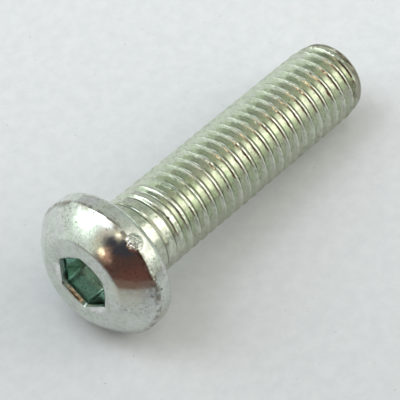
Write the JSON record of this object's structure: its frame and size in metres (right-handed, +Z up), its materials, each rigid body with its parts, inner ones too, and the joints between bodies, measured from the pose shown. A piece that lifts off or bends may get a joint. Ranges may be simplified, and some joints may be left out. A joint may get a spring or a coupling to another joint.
{
  "type": "button head socket screw",
  "caption": "Button head screw with a low domed head, hexagon socket drive and full length metric thread, bright zinc plated, lying at rest.",
  "frame": {"origin": "on the ground under the middle of the screw's bounding box", "axes": "+Z up; the screw lies in the XZ plane, with its head towards -X and its point towards +X, the axis dipping 5.6 degrees to the point"},
  "size_m": [0.0462, 0.0174, 0.0176],
  "materials": {
    "zinc_plated_steel": "bright zinc plated, satin on the thread, semi-polished on the head"
  },
  "bodies": {
    "root": {"screw": "zinc_plated_steel"}
  },
  "joints": []
}
